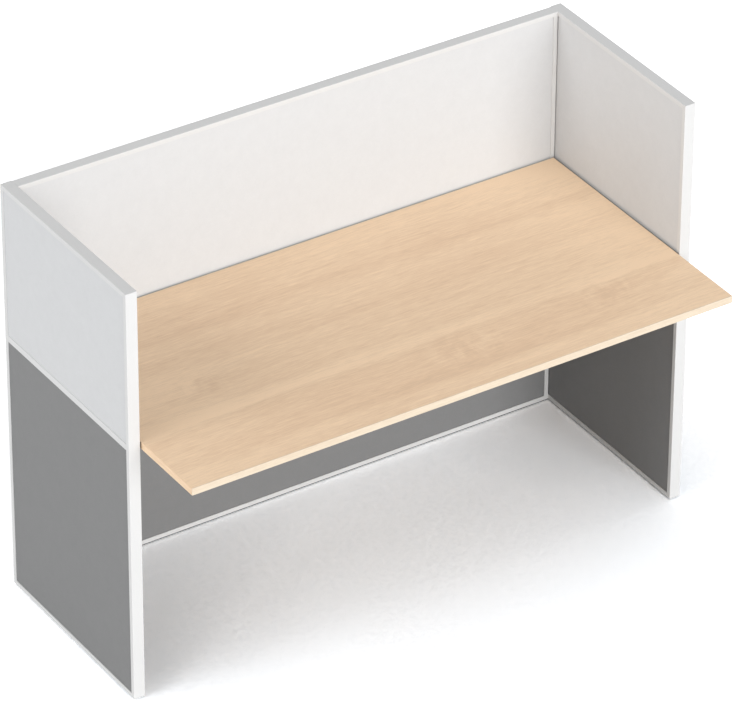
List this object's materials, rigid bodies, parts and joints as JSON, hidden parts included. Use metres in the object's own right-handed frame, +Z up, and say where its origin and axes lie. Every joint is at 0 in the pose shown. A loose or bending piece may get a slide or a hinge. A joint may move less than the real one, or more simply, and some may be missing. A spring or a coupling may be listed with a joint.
{
  "type": "cubicle workstation",
  "caption": "Office workstation with a worktop held between framed side and back screens that stand on adjustable screw glides.",
  "frame": {"origin": "on the floor, under the middle of the footprint of worktop and screens together", "axes": "+X towards the right screen as the user sits, +Y away from the user towards the back screen, +Z up"},
  "size_m": [1.672, 0.836, 1.205],
  "materials": {
    "frame_white": "matte",
    "board_white": "matte",
    "board_grey": "matte",
    "beech_top": "satin",
    "beech_edge": "satin",
    "cast_cleat": "matte",
    "zinc_steel": "satin",
    "dark_steel": "satin",
    "grey_steel": "satin",
    "foot_plastic": "matte"
  },
  "bodies": {
    "workstation": {"left_front_stile": "frame_white", "left_rear_stile": "frame_white", "left_top_rail": "frame_white", "left_bottom_rail": "frame_white", "left_mid_rail": "frame_white", "right_front_stile": "frame_white", "right_rear_stile": "frame_white", "right_top_rail": "frame_white", "right_bottom_rail": "frame_white", "right_mid_rail": "frame_white", "back_left_stile": "frame_white", "back_right_stile": "frame_white", "back_top_rail": "frame_white", "back_bottom_rail": "frame_white", "back_mid_rail": "frame_white", "left_upper_board": "board_white", "left_lower_board": "board_grey", "left_corner_cleats": "cast_cleat", "left_rail_joiners": "cast_cleat", "left_set_screws": "dark_steel", "left_glide_nuts": "zinc_steel", "left_bearer": "grey_steel", "right_upper_board": "board_white", "right_lower_board": "board_grey", "right_corner_cleats": "cast_cleat", "right_rail_joiners": "cast_cleat", "right_set_screws": "dark_steel", "right_glide_nuts": "zinc_steel", "right_bearer": "grey_steel", "back_upper_board": "board_white", "back_lower_board": "board_grey", "back_corner_cleats": "cast_cleat", "back_rail_joiners": "cast_cleat", "back_set_screws": "dark_steel", "back_glide_nuts": "zinc_steel", "back_bearer": "grey_steel", "desk_board": "beech_top", "desk_front_edge": "beech_edge", "desk_back_edge": "beech_edge", "desk_left_edge": "beech_edge", "desk_right_edge": "beech_edge", "desk_stiffener": "grey_steel", "left_link_plate": "grey_steel", "right_link_plate": "grey_steel", "bearer_screws": "zinc_steel", "desk_screws": "zinc_steel", "link_screws": "zinc_steel"},
    "left_front_foot": {"left_front_glide_foot": "foot_plastic"},
    "left_front_stem": {"left_front_glide_stem": "zinc_steel"},
    "left_rear_foot": {"left_rear_glide_foot": "foot_plastic"},
    "left_rear_stem": {"left_rear_glide_stem": "zinc_steel"},
    "right_front_foot": {"right_front_glide_foot": "foot_plastic"},
    "right_front_stem": {"right_front_glide_stem": "zinc_steel"},
    "right_rear_foot": {"right_rear_glide_foot": "foot_plastic"},
    "right_rear_stem": {"right_rear_glide_stem": "zinc_steel"},
    "back_left_foot": {"back_left_glide_foot": "foot_plastic"},
    "back_left_stem": {"back_left_glide_stem": "zinc_steel"},
    "back_right_foot": {"back_right_glide_foot": "foot_plastic"},
    "back_right_stem": {"back_right_glide_stem": "zinc_steel"}
  },
  "joints": [
    {"name": "left_front_foot_height", "type": "slide", "parent": "workstation", "child": "left_front_foot", "axis": [0, 0, -1], "range_m": [0, 0.015]},
    {"name": "left_front_stem_turn", "type": "hinge", "parent": "left_front_foot", "child": "left_front_stem", "pos_m": [-0.82, -0.102, 0], "axis": [0, 0, -1], "range_deg": [0, 4320]},
    {"name": "left_rear_foot_height", "type": "slide", "parent": "workstation", "child": "left_rear_foot", "axis": [0, 0, -1], "range_m": [0, 0.015]},
    {"name": "left_rear_stem_turn", "type": "hinge", "parent": "left_rear_foot", "child": "left_rear_stem", "pos_m": [-0.82, 0.338, 0], "axis": [0, 0, -1], "range_deg": [0, 4320]},
    {"name": "right_front_foot_height", "type": "slide", "parent": "workstation", "child": "right_front_foot", "axis": [0, 0, -1], "range_m": [0, 0.015]},
    {"name": "right_front_stem_turn", "type": "hinge", "parent": "right_front_foot", "child": "right_front_stem", "pos_m": [0.82, -0.102, 0], "axis": [0, 0, -1], "range_deg": [0, 4320]},
    {"name": "right_rear_foot_height", "type": "slide", "parent": "workstation", "child": "right_rear_foot", "axis": [0, 0, -1], "range_m": [0, 0.015]},
    {"name": "right_rear_stem_turn", "type": "hinge", "parent": "right_rear_foot", "child": "right_rear_stem", "pos_m": [0.82, 0.338, 0], "axis": [0, 0, -1], "range_deg": [0, 4320]},
    {"name": "back_left_foot_height", "type": "slide", "parent": "workstation", "child": "back_left_foot", "axis": [0, 0, -1], "range_m": [0, 0.015]},
    {"name": "back_left_stem_turn", "type": "hinge", "parent": "back_left_foot", "child": "back_left_stem", "pos_m": [-0.724, 0.4, 0], "axis": [0, 0, -1], "range_deg": [0, 4320]},
    {"name": "back_right_foot_height", "type": "slide", "parent": "workstation", "child": "back_right_foot", "axis": [0, 0, -1], "range_m": [0, 0.015]},
    {"name": "back_right_stem_turn", "type": "hinge", "parent": "back_right_foot", "child": "back_right_stem", "pos_m": [0.724, 0.4, 0], "axis": [0, 0, -1], "range_deg": [0, 4320]}
  ],
  "couplings": [
    {"joint": "left_front_stem_turn", "follows": "left_front_foot_height", "rad_per_m": 5026.5},
    {"joint": "left_rear_stem_turn", "follows": "left_rear_foot_height", "rad_per_m": 5026.5},
    {"joint": "right_front_stem_turn", "follows": "right_front_foot_height", "rad_per_m": 5026.5},
    {"joint": "right_rear_stem_turn", "follows": "right_rear_foot_height", "rad_per_m": 5026.5},
    {"joint": "back_left_stem_turn", "follows": "back_left_foot_height", "rad_per_m": 5026.5},
    {"joint": "back_right_stem_turn", "follows": "back_right_foot_height", "rad_per_m": 5026.5}
  ]
}
